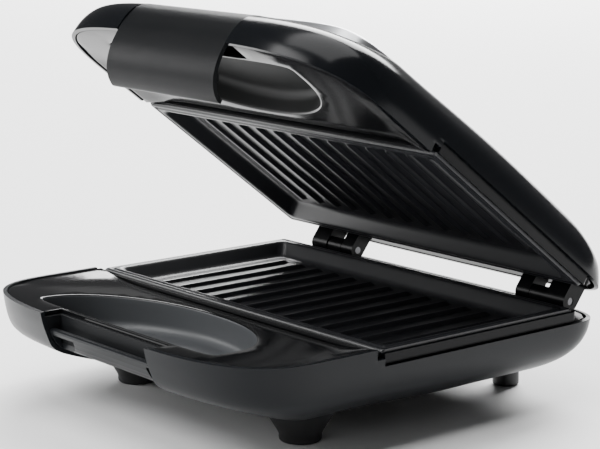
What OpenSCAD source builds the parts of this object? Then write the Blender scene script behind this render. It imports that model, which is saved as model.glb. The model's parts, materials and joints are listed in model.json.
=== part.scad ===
// Countertop sandwich toaster, shown with the lid part open.
// Frame: +X to the object's right, -Y to the front (latch end), +Z up, feet on z = 0.
// All parts are drawn round the centre of the cooking plates (y = 0) with the lid
// closed; the lid parts are then turned up about the hinge line.

/* [Body] */
// Half width of the body at the parting line
body_hw = 118; // [116:0.5:122]
// Front edge of the body, from the plate centre
body_front = 149.8; // [148:0.2:152]
// Rear edge of the base, from the plate centre
base_rear = 90.8; // [89:0.2:91]
// Rear edge of the lid, from the plate centre
lid_rear = 92.5; // [92:0.1:93]
// Height of the base rim above the table
base_rim_z = 53.2; // [52.8:0.1:53.4]
// Height of the closed lid's rim above the table
lid_rim_z = 53.9; // [53.8:0.1:54.5]
// Wall thickness of the moulded casings
wall = 2.2; // [1.8:0.1:2.6]

/* [Cooking plates] */
// Plate width
plate_w = 232; // [228:1:232]
// Plate depth
plate_d = 128; // [126:0.5:129]
// Depth of the toasting pocket
pocket_depth = 8; // [7:0.5:10]
// Spacing of the ribs
rib_pitch = 15; // [12:0.5:18]
// Height of the ribs
rib_h = 2; // [1:0.25:2.5]

/* [Lid and latch] */
// How far the lid stands open, in degrees from closed
lid_open = 37.6; // [0:0.1:80]
// Width of the latch
latch_w = 89; // [86:0.5:89]

/* [Hinge] */
// Distance of the hinge line behind the plate centre
hinge_y = 78.5; // [78:0.1:79]
// Height of the hinge line
hinge_z = 51; // [50.8:0.1:51.4]
// Hinge pin diameter
hinge_pin_d = 4; // [3:0.25:5]
// Running clearance on the hinge pins, on the radius
hinge_clear = 0.05; // [0.02:0.01:0.1]

/* [Feet and inlet] */
// Tip diameter of the front feet
front_foot_d = 21; // [18:0.5:24]
// Diameter of the rear feet
rear_foot_d = 14; // [12:0.5:16]
// Diameter of the cord that the inlet takes
cord_d = 7; // [6:0.5:8]

/* [Hidden] */
$fn = 48;
y0 = 24.51;              // moves the plate centre so that the origin is under the middle
ledge_z = 44.6;          // rear ledge of the base
lid_ledge_z = 62.6;      // rear ledge of the closed lid
notch_hw = 45;           // half width of the latch notch
plate_t = 1.9;           // plate flange thickness
base_fl_z = 50.6;        // underside of the base plate flange
pk = 110.5; pkd = 58.5;  // half width and half depth of the pocket mouth
draft = 6;               // how far the pocket walls lean in
hp_r = hinge_pin_d / 2;

// ---------- placing ----------
module in_base() { translate([0, y0, 0]) children(); }
module in_lid() {
  translate([0, y0 + hinge_y, hinge_z]) rotate([-lid_open, 0, 0])
    translate([0, -hinge_y, -hinge_z]) children();
}
// the lid is the base's mirror image about the parting plane
pm = (base_rim_z + lid_rim_z) / 2;
module flip() { translate([0, 0, 2 * pm]) mirror([0, 0, 1]) children(); }

// ---------- casing form ----------
// Sections from the rim inwards: depth, then how far the side, front and rear are
// drawn in, then the corner exponents at the front and the rear.
base_sec = [[0, 0, 0, 0, 3.6, 7], [5, 0, 0.8, 0, 3.6, 6.5], [9.5, 0.2, 2.3, 0, 3.7, 6.2],
  [14, 0.4, 4, 0.6, 3.8, 6], [18, 1.05, 5.4, 2, 3.8, 5.75], [21.5, 2.15, 7.2, 4.2, 3.8, 5.45],
  [23.5, 3.35, 10.8, 6.05, 3.8, 5.3], [26, 5.4, 17.2, 8.45, 3.85, 5.1], [29.5, 9.9, 27, 12.1, 3.95, 4.9],
  [33.5, 17.8, 39.5, 16.9, 4, 4.5], [37, 27.3, 56, 22.3, 4, 4.3], [40.2, 36.7, 79, 30.5, 4, 4],
  [42.3, 50, 100, 46, 4, 4]];
lid_sec = [[0, 0, 0, 0, 3.6, 6], [5, 0, 0, 0, 3.58, 5.8], [9.5, 0.55, 0.3, 0.5, 3.56, 5.5],
  [14, 1.8, 1.25, 1.5, 3.54, 5.2], [18, 3.25, 2.85, 3, 3.52, 5], [21.5, 5.45, 5.3, 5, 3.5, 4.8],
  [24.5, 8.15, 9.5, 8, 3.3, 4.5], [27.4, 11.4, 15.7, 11.5, 3.04, 4.2], [30.2, 15.7, 23.8, 15.5, 2.78, 4],
  [32.5, 20.2, 34.3, 20, 2.53, 3.8], [34.3, 24.6, 47.7, 25, 2.4, 3.6], [35.7, 28.5, 69, 32, 2.3, 3.4],
  [36.7, 38, 89, 43, 2.28, 3.2], [37.3, 60, 101.5, 58, 2.27, 3]];
// crown of the flat faces along the depth of the object
function hb(y) = 1 - 0.05 * pow(min(max((-y - 5) / 60, 0), 1), 2);
function hl(y) = 1 - (y < 10 ? 0.079 : 0.028) * pow(min(abs(y - 10) / 80, 1.15), 2);
function crown(y, is_lid) = is_lid ? hl(y) : hb(y);
NF = 24; NR = 14;
function pw(v, e) = pow(abs(v), e);
function sgn(v) = v < 0 ? -1 : 1;
// one outline, counter-clockwise: the rear half, then the front half
function outline(hw, fy, ry, nf, nr) =
  let (yf = max(-91.4, fy + 18), yr = min(45, ry - 12)) concat(
    [for (i = [0:NR]) let (a = 180 * i / NR, c = i == NR / 2 ? 0 : cos(a))
      [hw * sgn(c) * pw(c, 2 / nr), yr + (ry - yr) * pw(sin(a), 2 / nr)]],
    [for (i = [0:NF]) let (a = 180 + 180 * i / NF, c = i == NF / 2 ? 0 : cos(a))
      [hw * sgn(c) * pw(c, 2 / nf), yf - (yf - fy) * pw(sin(a), 2 / nf)]]);
NP = NR + NF + 2;
function ring(s, rear, is_lid, t, dz) = let (dm = s[0] - t * dz)
  [for (p = outline(body_hw - s[1] - t, -body_front + s[2] + t, rear - s[3] - t, s[4], s[5]))
    [p[0], p[1], -dm * crown(p[1], is_lid)]];
function flat(v) = [for (a = v) for (b = a) b];
// solid form, rim at z = 0, growing downwards
module form(sec, rear, is_lid, t) {
  m = len(sec);
  pts = flat([for (k = [0:m-1]) ring(sec[k], rear, is_lid, t, k == 0 ? 0 : pow(sec[k][0] / sec[m-1][0], 2))]);
  dm = sec[m-1][0] - t;
  cy = (rear - sec[m-1][3] - body_front + sec[m-1][2]) / 2;
  all = concat(pts, [[0, cy, 0], [0, cy, -dm * crown(cy, is_lid)]]);
  polyhedron(all, concat(
    flat([for (k = [0:m-2]) for (j = [0:NP-1]) let (a = k * NP + j, b = k * NP + (j + 1) % NP)
      [[a, b, b + NP], [a, b + NP, a + NP]]]),
    [for (j = [0:NP-1]) [m * NP, (j + 1) % NP, j]],
    [for (j = [0:NP-1]) [m * NP + 1, (m - 1) * NP + j, (m - 1) * NP + (j + 1) % NP]]), convexity = 4);
}
// hollow casing, rim at z = 0, growing downwards
module casing(sec, rear, is_lid, t) {
  m = len(sec);
  o = flat([for (k = [0:m-1]) ring(sec[k], rear, is_lid, 0, 0)]);
  i = flat([for (k = [0:m-1]) ring(sec[k], rear, is_lid, t, k == 0 ? 0 : pow(sec[k][0] / sec[m-1][0], 2))]);
  dm = sec[m-1][0];
  cy = (rear - sec[m-1][3] - body_front + sec[m-1][2]) / 2;
  h = m * NP;
  all = concat(o, i, [[0, cy, -dm * crown(cy, is_lid)], [0, cy, -(dm - t) * crown(cy, is_lid)]]);
  polyhedron(all, concat(
    flat([for (k = [0:m-2]) for (j = [0:NP-1]) let (a = k * NP + j, b = k * NP + (j + 1) % NP)
      [[a, b, b + NP], [a, b + NP, a + NP], [h + a, h + b + NP, h + b], [h + a, h + a + NP, h + b + NP]]]),
    flat([for (j = [0:NP-1]) let (b = (j + 1) % NP) [[j, h + j, h + b], [j, h + b, b]]]),
    [for (j = [0:NP-1]) [2 * h, (m - 1) * NP + j, (m - 1) * NP + (j + 1) % NP]],
    [for (j = [0:NP-1]) [2 * h + 1, h + (m - 1) * NP + (j + 1) % NP, h + (m - 1) * NP + j]]), convexity = 6);
}
module base_form(t = 0) { translate([0, 0, base_rim_z]) form(base_sec, base_rear, false, t); }
module lid_form(t = 0) { translate([0, 0, lid_rim_z]) mirror([0, 0, 1]) form(lid_sec, lid_rear, true, t); }

// ---------- small shapes ----------
module rbox(x, y, z0, z1, r) {
  translate([0, 0, z0]) linear_extrude(z1 - z0) rrect(x, y, r);
}
// rounded rectangle with true corner arcs, half sizes x and y
module rrect(x, y, r) {
  square([2 * x, 2 * (y - r)], center = true);
  square([2 * (x - r), 2 * y], center = true);
  for (i = [-1, 1]) for (j = [-1, 1]) translate([i * (x - r), j * (y - r)]) circle(r);
}
// a block with sloping sides, from half sizes x, y at z1 in by d at z0
module pan(x, y, z0, z1, d) {
  intersection() {
    translate([0, 300, 0]) rotate([90, 0, 0]) linear_extrude(600)
      polygon([[-x, z1], [-x + d, z0], [x - d, z0], [x, z1]]);
    translate([-300, 0, 0]) rotate([90, 0, 90]) linear_extrude(600)
      polygon([[-y, z1], [-y + d, z0], [y - d, z0], [y, z1]]);
  }
}
// an outline in y and z, drawn along x from -w/2 to w/2
module along_x(w) { translate([-w / 2, 0, 0]) rotate([90, 0, 90]) linear_extrude(w) children(); }
module xcyl(r, x0, x1, y, z) { translate([x0, y, z]) rotate([0, 90, 0]) cylinder(r = r, h = x1 - x0); }
module screw(x, y, z, l, r = 1.5, hr = 3) {
  translate([x, y, z]) { cylinder(r = hr, h = 2); cylinder(r = r, h = l); }
}

// ---------- places ----------
foot_f = [[-69, -75], [69, -75]];
foot_r = [[-62, 72], [62, 72]];
gland_x = -62; gland_z = 31;
front_boss = [[-92, -98], [92, -98]];
rear_boss = [[-40, 72], [40, 72]];
plate_bolts = [[-48, 0], [48, 0]];

// ---------- base ----------
// D-shaped finger scoop: straight in front, arched behind
function scoop(g) = concat(
  [for (i = [0:20]) let (a = 180 * i / 20) [(75 + g) * sgn(cos(a)) * pw(i == 10 ? 0 : cos(a), 2 / 2.1), -127 + (52 + g) * pw(sin(a), 2 / 2.1)]],
  [for (i = [1:9]) let (a = 180 + 18 * i) [(75 + g) * sgn(cos(a)) * pw(i == 5 ? 0 : cos(a), 2 / 5), -127 - (6 + g) * pw(sin(a), 2 / 5)]]);
// the deck is level with the rim along its sides and dips towards the plate in the middle
module dish() {
  intersection() {
    along_x(240) polygon([[-128, base_rim_z - 0.2], [-4, 44.6], [-4, 60], [-128, 60]]);
    rotate([90, 0, 0]) linear_extrude(200) polygon([[-113, base_rim_z - 0.2], [-77, 44.6], [77, 44.6],
      [113, base_rim_z - 0.2], [113, 60], [-113, 60]]);
  }
}
module deck_top(th) {
  difference() {
    translate([-200, -170, -20]) cube([400, 104, base_rim_z + 19.8]);
    dish();
    translate([0, 0, -th]) difference() {
      translate([-201, -171, -40]) cube([402, 107, base_rim_z + 39.8]);
      dish();
    }
  }
}
module deck_solid(depth) {
  difference() {
    union() {
      intersection() {
        deck_top(2);
        translate([0, 0, 40]) linear_extrude(20)
          polygon(outline(body_hw - wall - 0.25, -body_front + wall + 0.25, 85, 3.6, 6));
      }
      intersection() {
        deck_top(60);
        translate([0, 0, base_rim_z - depth]) linear_extrude(depth + 5) polygon(scoop(1.8));
      }
      intersection() {
        deck_top(60);
        for (p = front_boss) translate([p[0], p[1], 45.7]) cylinder(r = 4, h = 20);
      }
    }
    for (p = front_boss) translate([p[0], p[1], 40]) cylinder(r = 1.5, h = 9);
    translate([0, 0, base_rim_z - depth + 1.8]) linear_extrude(60) polygon(scoop(0));
    translate([-notch_hw - 2.2, -200, 0]) cube([2 * notch_hw + 4.4, 200 - 135.2, 100]);
  }
}
module base_shell() color([0.2, 0.21, 0.22]) in_base() {
  difference() {
    union() {
      translate([0, 0, base_rim_z]) casing(base_sec, base_rear, false, wall);
      intersection() {
        union() {
          for (p = front_boss) translate([p[0], p[1], 5]) cylinder(r = 4, h = 40.5);
          for (p = rear_boss) translate([p[0], p[1], 5]) cylinder(r = 4, h = 31);
          for (p = foot_f) translate([p[0], p[1], 5]) cylinder(r = 4, h = 19);
          for (p = foot_r) translate([p[0], p[1], 5]) cylinder(r = 4, h = 18.4);
          for (s = [-1, 1]) translate([s * (notch_hw + 0.8), 0, 0]) along_x(1.8) polygon([[-141, 15], [-141, 32.6],
            [-136.2, 31.6], [-131.4, 31.5], [-107, 22], [-107, 15]]);
        }
        base_form(1);
      }
    }
    for (p = concat(front_boss, rear_boss)) translate([p[0], p[1], 0]) cylinder(r = 1.7, h = 60);
    for (p = front_boss) translate([p[0], p[1], -1]) cylinder(r = 3.2, h = 31);
    for (p = rear_boss) translate([p[0], p[1], -1]) cylinder(r = 3.2, h = 25);
    translate([-200, -68.6, 48.2]) cube([400, 400, 100]);
    translate([-200, -63.8, ledge_z]) cube([400, 400, 100]);
    translate([-notch_hw, -200, 28.3]) cube([2 * notch_hw, 200 - 131, 100]);
    translate([-notch_hw, -200, 0]) cube([2 * notch_hw, 200 - 107.4, 31.6]);
    translate([gland_x, 100, gland_z]) rotate([90, 0, 0]) cylinder(r = 6, h = 30);
    for (p = concat(foot_f, foot_r)) translate([p[0], p[1], 0]) cylinder(r = 1.5, h = 30);
    for (i = [-3:3]) translate([i * 12 - 2, -32, 5]) cube([4, 40, 9]);
  }
  // raised floor of the notch, where the latch's end goes in
  along_x(2 * notch_hw + 1) polygon([[-131.4, 31.5], [-131.4, 30.7], [-129.8, 30], [-107, 20.7], [-106, 21.6], [-106, 22.4], [-107, 22.4]]);
}
module base_deck() color([0.05, 0.05, 0.06]) in_base() deck_solid(21.5);
// keeper across the notch that the latch hooks into, with its two side cheeks
keeper_o = [[-143.2, 44.4], [-144, 43.8], [-144.1, 42.8], [-143, 40], [-141.4, 37.2], [-139.6, 34.9], [-137.5, 33.3], [-135.4, 32.4]];
keeper_i = [[-135.4, 34.6], [-136.7, 35.3], [-138.1, 36.8], [-139.4, 38.9], [-140.4, 41.4], [-141.1, 44.4]];
module latch_keeper() color([0.17, 0.18, 0.19]) in_base() {
  difference() {
    union() {
      along_x(2 * notch_hw + 0.2) polygon(concat(keeper_o, keeper_i));
      along_x(2 * notch_hw + 0.2) polygon([[-137.3, 33.2], [-135.4, 32.3], [-135.4, 50.6], [-137.3, 50.6]]);
    }
    translate([0, -137.6, 0]) rotate([90, 0, 0]) linear_extrude(12)
      polygon([[-43.5, 41.2], [-43.5, 31], [-38.4, 31], [-33.2, 33.4], [-28.8, 35.3], [-26.2, 37.4], [-25, 39.4], [-24.5, 41.2]]);
    translate([38.4, -150, 34.2]) cube([5.4, 11.2, 7.4]);
  }
  for (s = [-1, 1]) translate([s * (notch_hw + 1.05), 0, 0]) along_x(2) polygon([[-146.4, 50.6], [-145.2, 46],
    [-143.4, 41.2], [-141, 36.8], [-138, 33.8], [-135.4, 32.3], [-135.4, 50.6]]);
}
// frame that carries the plate: foot, band, front lip, and the closed ledge round it
module carrier_solid(hw, rear, nr, hole) {
  difference() {
    union() {
      translate([-114.6, -65.6, 48.9]) cube([229.2, 20, base_fl_z - 48.9]);
      translate([-115.4, -63.4, ledge_z]) cube([230.8, 129.4, 2.2]);
      intersection() {
        rbox(117.4, 66.5, ledge_z + 2.2, base_fl_z, 3);
        translate([-200, -63.4, 0]) cube([400, 200, 200]);
      }
      intersection() {
        translate([0, 0, ledge_z - 2]) linear_extrude(2)
          polygon(outline(hw, -body_front + 10, rear, 3.6, nr));
        translate([-200, -63.4, 0]) cube([400, 200, 200]);
      }
      for (p = rear_boss) translate([p[0], p[1], 36.2]) cylinder(r = 4, h = 7);
    }
    rbox(111.2, 59.2, 30, 60, 4);
    for (p = rear_boss) translate([p[0], p[1], 35]) cylinder(r = 1.5, h = hole);
    for (s = [-1, 1]) translate([s * 82, hinge_y - 1, 30]) cylinder(r = 1.7, h = 30);
  }
}
module base_plate_carrier() color([0.06, 0.06, 0.065]) in_base()
  carrier_solid(body_hw - wall - 0.6, base_rear - wall - 0.6, 6, 8.4);
// cooking plate, pocket upwards, flange underside at z = base_fl_z
module plate_solid(ribs) {
  zt = base_fl_z + plate_t;
  zf = zt - pocket_depth;
  difference() {
    union() {
      rbox(plate_w / 2, plate_d / 2, base_fl_z, zt, 2.5);
      pan(pk + 0.4, pkd + 0.4, zf - 2.6, base_fl_z, draft);
      for (p = plate_bolts) translate([p[0], p[1], zf - 7.6]) cylinder(r = 4, h = 6);
    }
    pan(pk, pkd, zf, zt + 0.01, draft);
    difference() {
      rbox(pk + 3.6, pkd + 3.6, zt - 0.7, zt + 1, 3);
      rbox(pk + 2.2, pkd + 2.2, zt - 1, zt + 2, 2.5);
    }
    for (p = plate_bolts) translate([p[0], p[1], zf - 8]) cylinder(r = 1.5, h = 6.4);
  }
  n = floor(98 / rib_pitch);
  for (i = [-n:n]) translate([i * rib_pitch, 45, 0]) rotate([90, 0, 0]) linear_extrude(90)
    polygon([[-2.4, zf - 0.5], [-0.9, zf + rib_h], [0.9, zf + rib_h], [2.4, zf - 0.5]]);
}
module base_plate() color([0.09, 0.09, 0.1]) in_base() plate_solid();
// tubular element under the plate: two runs and a return bend, cold ends turned down
el_z = base_fl_z + plate_t - pocket_depth - 2.6 - 3.3;
module element_solid() {
  for (s = [-1, 1]) {
    xcyl(3.2, -70, 52, s * 30, el_z);
    translate([-70, s * 30, el_z]) rotate([90, 0, 0]) translate([0, -7, 0]) rotate([0, 0, 90])
      rotate_extrude(angle = 90) translate([7, 0]) circle(3.2);
    translate([-77, s * 30, el_z - 13]) cylinder(r = 2.4, h = 6);
  }
  translate([52, 0, el_z]) rotate([0, 0, -90]) rotate_extrude(angle = 180) translate([30, 0]) circle(3.2);
}
module clamps_solid() {
  for (p = plate_bolts) difference() {
    translate([p[0] - 6, -36, el_z - 3.2 - 1.5]) cube([12, 72, 1.5]);
    translate([p[0], p[1], el_z - 10]) cylinder(r = 1.7, h = 20);
  }
}
module plate_screws_solid() {
  for (p = plate_bolts) {
    translate([p[0], p[1], el_z - 6.7]) cylinder(r = 3, h = 2);
    translate([p[0], p[1], el_z - 4.7]) cylinder(r = 1.45, h = 8.8);
  }
}
module base_element() color([0.55, 0.53, 0.5]) in_base() element_solid();
module base_element_clamps() color([0.7, 0.7, 0.7]) in_base() clamps_solid();
module base_plate_screws() color([0.75, 0.75, 0.76]) in_base() plate_screws_solid();
// sheet tray that turns the heat back up
module reflector_solid(z) {
  difference() {
    translate([-88, -48, z]) cube([176, 96, 12.5]);
    translate([-87.2, -47.2, z + 0.8]) cube([174.4, 94.4, 20]);
    for (p = plate_bolts) translate([p[0], p[1], z - 1]) cylinder(r = 4.2, h = 4);
    for (s = [-1, 1]) translate([-77, s * 30, z - 1]) cylinder(r = 4.5, h = 4);
    translate([0, 0, z - 1]) cylinder(r = 10.5, h = 4);
  }
  for (s = [-1, 1]) for (t = [-1, 1]) translate([s * 100 - 12.4, t * 36 - 5, z + 11.7]) cube([24.8, 10, 0.8]);
}
module base_reflector() color([0.78, 0.78, 0.79]) in_base() reflector_solid(el_z - 9.3);
module thermostat() color([0.85, 0.83, 0.78]) in_base() {
  translate([0, 0, el_z - 8.5]) cylinder(r = 8.5, h = 9.5);
  translate([0, 0, el_z + 1]) cylinder(r = 6.5, h = 2.2);
  for (s = [-1, 1]) translate([s * 5 - 1.5, -0.4, el_z - 14.5]) cube([3, 0.8, 6]);
}
module thermal_fuse() color([0.9, 0.9, 0.88]) in_base() {
  xcyl(2.2, 18, 34, 18, el_z - 0.9 - 2.2);
  xcyl(0.6, 13, 39, 18, el_z - 0.9 - 2.2);
}
module terminal_block() color([0.92, 0.9, 0.84]) in_base() {
  difference() {
    translate([-68.5, 30, 14.8]) cube([27.5, 12, 10.5]);
    for (i = [0:2]) translate([-63.7 + 9 * i, 36, 19.2]) cylinder(r = 2.2, h = 10);
    for (i = [0:2]) translate([-63.7 + 9 * i, 60, 19.6]) rotate([90, 0, 0]) cylinder(r = 1.8, h = 40);
  }
  for (i = [0:1]) difference() {
    translate([-59.2 + 9 * i, 36, 11.5]) cylinder(r = 2.5, h = 3.4);
    base_cut();
  }
}
// the space below the inside face of the base
module base_cut() { difference() { translate([-130, -160, 0]) cube([260, 260, 30]); base_form(wall + 0.1); } }
// wire along the corner points p, each leg along an axis, with quarter bends of radius R
function unit(v) = v / norm(v);
module placed(x, z, o) {
  y = cross(z, x);
  multmatrix([[x[0], y[0], z[0], o[0]], [x[1], y[1], z[1], o[1]], [x[2], y[2], z[2], o[2]], [0, 0, 0, 1]]) children();
}
module route(p, R = 2.6, r = 1.3) {
  n = len(p) - 1;
  for (i = [0:n - 1]) let (u = unit(p[i + 1] - p[i]), a = i > 0 ? R : 0, b = i < n - 1 ? R : 0)
    placed([u[1], u[2], u[0]], u, p[i] + a * u) cylinder(r = r, h = norm(p[i + 1] - p[i]) - a - b);
  for (i = [1:n - 1]) let (u = unit(p[i] - p[i - 1]), v = unit(p[i + 1] - p[i]))
    placed(-v, cross(u, v), p[i] + R * (v - u)) rotate_extrude(angle = 90) translate([R, 0]) circle(r);
}
module mains_wiring() color([0.6, 0.32, 0.15]) in_base() {
  route([[gland_x - 1.7, 76.2, gland_z], [gland_x - 1.7, 66, gland_z], [-63.7, 66, 19.6], [-63.7, 38, 19.6]]);
  route([[gland_x + 1.7, 76.2, gland_z], [gland_x + 1.7, 64, gland_z], [-54.7, 64, gland_z], [-54.7, 64, 19.6], [-54.7, 38, 19.6]]);
  route([[-63.7, 34, 19.6], [-63.7, 21, 19.6], [-77, 21, 19.6], [-77, 30, 19.6], [-77, 30, el_z - 13.2]]);
  route([[-54.7, 34, 19.6], [-54.7, 0, 19.6], [-5, 0, 19.6], [-5, 0, el_z - 14.7]]);
}
// bushing in the rear wall with a through hole for the cord
module cord_gland() color([0.05, 0.05, 0.05]) in_base() {
  translate([gland_x, 0, gland_z]) difference() {
    union() {
      translate([0, 91, 0]) rotate([90, 0, 0]) cylinder(r = 5.95, h = 13.5);
      difference() {
        translate([0, 91, 0]) rotate([90, 0, 0]) cylinder(r = 8, h = 8);
        translate([-gland_x, 0, -gland_z]) base_form();
      }
      intersection() {
        translate([0, 79.9, 0]) rotate([90, 0, 0]) cylinder(r = 7.2, h = 2.4);
        translate([-gland_x, 0, -gland_z]) base_form(wall + 0.15);
      }
    }
    translate([0, 95, 0]) rotate([90, 0, 0]) cylinder(r = cord_d / 2, h = 20);
  }
}
module front_feet() color([0.06, 0.06, 0.06]) in_base() {
  fr = front_foot_d / 2;
  for (p = foot_f) difference() {
    translate([p[0], p[1], 0]) rotate_extrude() polygon([[0, 0], [fr - 1.5, 0], [fr - 0.4, 0.5], [fr, 1.6], [fr, 3.6],
      [fr + 1, 5.2], [fr + 3, 8.6], [fr + 5.4, 12.6], [fr + 8.5, 17.6], [0, 17.6]]);
    base_form();
    translate([p[0], p[1], -1]) cylinder(r = 3.4, h = 7);
    translate([p[0], p[1], 0]) cylinder(r = 1.7, h = 30);
  }
}
module rear_feet() color([0.06, 0.06, 0.06]) in_base() {
  rr = rear_foot_d / 2;
  for (p = foot_r) difference() {
    translate([p[0], p[1], 0]) rotate_extrude() polygon([[0, 0], [rr - 0.8, 0], [rr, 0.8], [rr, 15.5], [0, 15.5]]);
    base_form();
    translate([p[0], p[1], -1]) cylinder(r = 3.4, h = 5);
    translate([p[0], p[1], 0]) cylinder(r = 1.7, h = 30);
  }
}
module base_screws() color([0.5, 0.5, 0.5]) in_base() {
  for (p = foot_f) screw(p[0], p[1], 4, 19);
  for (p = foot_r) screw(p[0], p[1], 2, 20.8);
  for (p = front_boss) screw(p[0], p[1], 28, 20.6);
  for (p = rear_boss) screw(p[0], p[1], 22, 21);
}
// uprights on the rear ledge that hold the hinge pins
module hinge_towers() color([0.05, 0.05, 0.055]) in_base() {
  for (s = [-1, 1]) difference() {
    union() {
      xcyl(4.8, min(s * 76.3, s * 87.7), max(s * 76.3, s * 87.7), hinge_y, hinge_z);
      translate([s * 82 - 5.7, hinge_y - 4.8, ledge_z]) cube([11.4, 9.6, hinge_z - ledge_z]);
      translate([s * 82 - 5.7, hinge_y - 8, ledge_z]) cube([11.4, 16, 1.4]);
      translate([s * 82, hinge_y - 1, 36]) cylinder(r = 1.65, h = 9);
      translate([s * 82, hinge_y - 1, 40.6]) cylinder(r = 3, h = 2);
    }
    xcyl(hp_r, s * 82 - 20, s * 82 + 20, hinge_y, hinge_z);
  }
}
module hinge_pins() color([0.75, 0.75, 0.77]) in_base()
  for (s = [-1, 1]) xcyl(hp_r, min(s * 66, s * 101), max(s * 66, s * 101), hinge_y, hinge_z);

// ---------- lid, drawn closed ----------
module lid_shell() color([0.06, 0.06, 0.07]) in_lid() {
  difference() {
    union() {
      translate([0, 0, lid_rim_z]) mirror([0, 0, 1]) casing(lid_sec, lid_rear, true, wall);
      intersection() {
        union() {
          for (p = front_boss) translate([p[0], p[1], 61.6]) cylinder(r = 4, h = 30);
          for (p = rear_boss) translate([p[0], p[1], 71]) cylinder(r = 4, h = 20);
        }
        lid_form(1);
      }
    }
    for (p = rear_boss) translate([p[0], p[1], 50]) cylinder(r = 1.5, h = 30);
    translate([-200, -68.6, -30]) cube([400, 400, 58.9 + 30]);
    translate([-200, -63.8, -30]) cube([400, 400, lid_ledge_z + 30]);
    translate([-notch_hw, -200, 0]) cube([2 * notch_hw, 200 - 124.6, 100]);
    for (x = [-9, 9]) translate([x, -92, 60]) cylinder(r = 3.2, h = 60);
  }
}
lid_bowl = 17;
module lid_deck() color([0.04, 0.04, 0.045]) in_lid() flip() deck_solid(lid_bowl);
// cheeks that carry the latch pivot, joined by a bridge behind the latch
latch_piv = [-139.2, 67];
module latch_housing() color([0.1, 0.1, 0.11]) in_lid() {
  difference() {
    for (s = [-1, 1]) translate([s * (notch_hw + 1.05), 0, 0]) along_x(2) polygon([[-146, 56.8], [-145.8, 60.5],
      [-144.9, 64], [-143.4, 67.4], [-141, 70.4], [-138, 72.8], [-132.5, 75.2], [-119, 78.2], [-119, 72], [-135.4, 72], [-135.4, 56.8]]);
    xcyl(2.05, -60, 60, latch_piv[0], latch_piv[1]);
  }
  translate([-notch_hw - 1, -122, 72.2]) cube([2 * notch_hw + 2, 2.4, 5.2]);
}
module lid_plate_carrier() color([0.06, 0.06, 0.065]) in_lid() flip()
  carrier_solid(body_hw - wall - 1.5, lid_rear - wall - 1.5, 5.1, 20);
module lid_plate() color([0.09, 0.09, 0.1]) in_lid() flip() plate_solid();
module lid_element() color([0.55, 0.53, 0.5]) in_lid() flip() element_solid();
module lid_element_clamps() color([0.7, 0.7, 0.7]) in_lid() flip() clamps_solid();
module lid_plate_screws() color([0.75, 0.75, 0.76]) in_lid() flip() plate_screws_solid();
module lid_reflector() color([0.78, 0.78, 0.79]) in_lid() flip() reflector_solid(el_z - 9.3);
// domed metal skin on the lid's top
px = 74; pf = -103; pr = 60;
function prect(k, n, t) = [for (i = [0:n-1]) let (a = 360 * (i + 0.5) / n, c = cos(a), s = sin(a), e = 2 / 7)
  [(px - t) * k * sgn(c) * pw(c, e), (pf + pr) / 2 + ((pr - pf) / 2 - t) * k * sgn(s) * pw(s, e)]];
function ptop(x, y, k) = 96.9 - 3.1 * pow(x / px, 4) - (y < 0 ? 0.1 * pow(y / 103, 2) : 4 * pow(y / 60, 2)) - (k > 0.99 ? 1.2 : k > 0.97 ? 0.3 : 0);
module panel_block(t = 0) {
  n = 40; ks = [1, 0.985, 0.95, 0.75, 0.4];
  m = len(ks);
  pts = concat(flat([for (k = ks) [for (p = prect(k, n, t)) [p[0], p[1], ptop(p[0], p[1], k) - t]]]),
    [for (p = prect(1, n, t)) [p[0], p[1], 76 - t]], [[0, (pf + pr) / 2, ptop(0, (pf + pr) / 2, 0) - t]]);
  polyhedron(pts, concat(
    flat([for (k = [0:m-2]) for (j = [0:n-1]) let (a = k * n + j, b = k * n + (j + 1) % n)
      [[a, b + n, b], [a, a + n, b + n]]]),
    flat([for (j = [0:n-1]) let (b = (j + 1) % n) [[m * n + j, j, b], [m * n + j, b, m * n + b]]]),
    [for (j = [0:n-1]) [(m + 1) * n, (m - 1) * n + (j + 1) % n, (m - 1) * n + j]],
    [[for (j = [0:n-1]) m * n + j]]), convexity = 4);
}
module top_panel() color([0.75, 0.76, 0.78]) in_lid() difference() {
  panel_block();
  panel_block(1.4);
  lid_form();
  for (x = [-9, 9]) translate([x, -92, 60]) cylinder(r = 3.2, h = 60);
}
module lens(x) {
  translate([x, -92, 82]) cylinder(r = 3.05, h = 15.1);
  translate([x, -92, 80.6]) cylinder(r = 4.4, h = 1.6);
}
module power_lens() color([0.8, 0.1, 0.08]) in_lid() lens(-9);
module ready_lens() color([0.1, 0.7, 0.2]) in_lid() lens(9);
module lamp_board() color([0.75, 0.68, 0.5]) in_lid() {
  translate([-22, -100, 73.6]) cube([44, 17, 1.6]);
  for (x = [-9, 9]) translate([x, -92, 75.2]) { cylinder(r = 1.9, h = 3); translate([0, 0, 3]) sphere(1.9); }
}
module hinge_ears() color([0.05, 0.05, 0.055]) in_lid() {
  zl = 2 * pm - ledge_z;
  for (s = [-1, 1]) {
    for (e = [[66.2, 75.8, 4.8], [88.2, 101.4, 5.4]]) difference() {
      union() {
        xcyl(e[2], min(s * e[0], s * e[1]), max(s * e[0], s * e[1]), hinge_y, hinge_z);
        translate([min(s * e[0], s * e[1]), hinge_y - e[2], hinge_z]) cube([e[1] - e[0], 2 * e[2], zl - hinge_z]);
      }
      xcyl(hp_r + hinge_clear, s * 82 - 25, s * 82 + 25, hinge_y, hinge_z);
    }
    translate([s * 83.8 - 17.6, hinge_y - 5.4, zl - 1.5]) cube([35.2, 10.8, 1.5]);
    translate([s * 82, hinge_y - 1, zl - 0.5]) cylinder(r = 1.65, h = 9);
    translate([s * 82, hinge_y - 1, zl + 2]) cylinder(r = 3, h = 2);
  }
}
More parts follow.
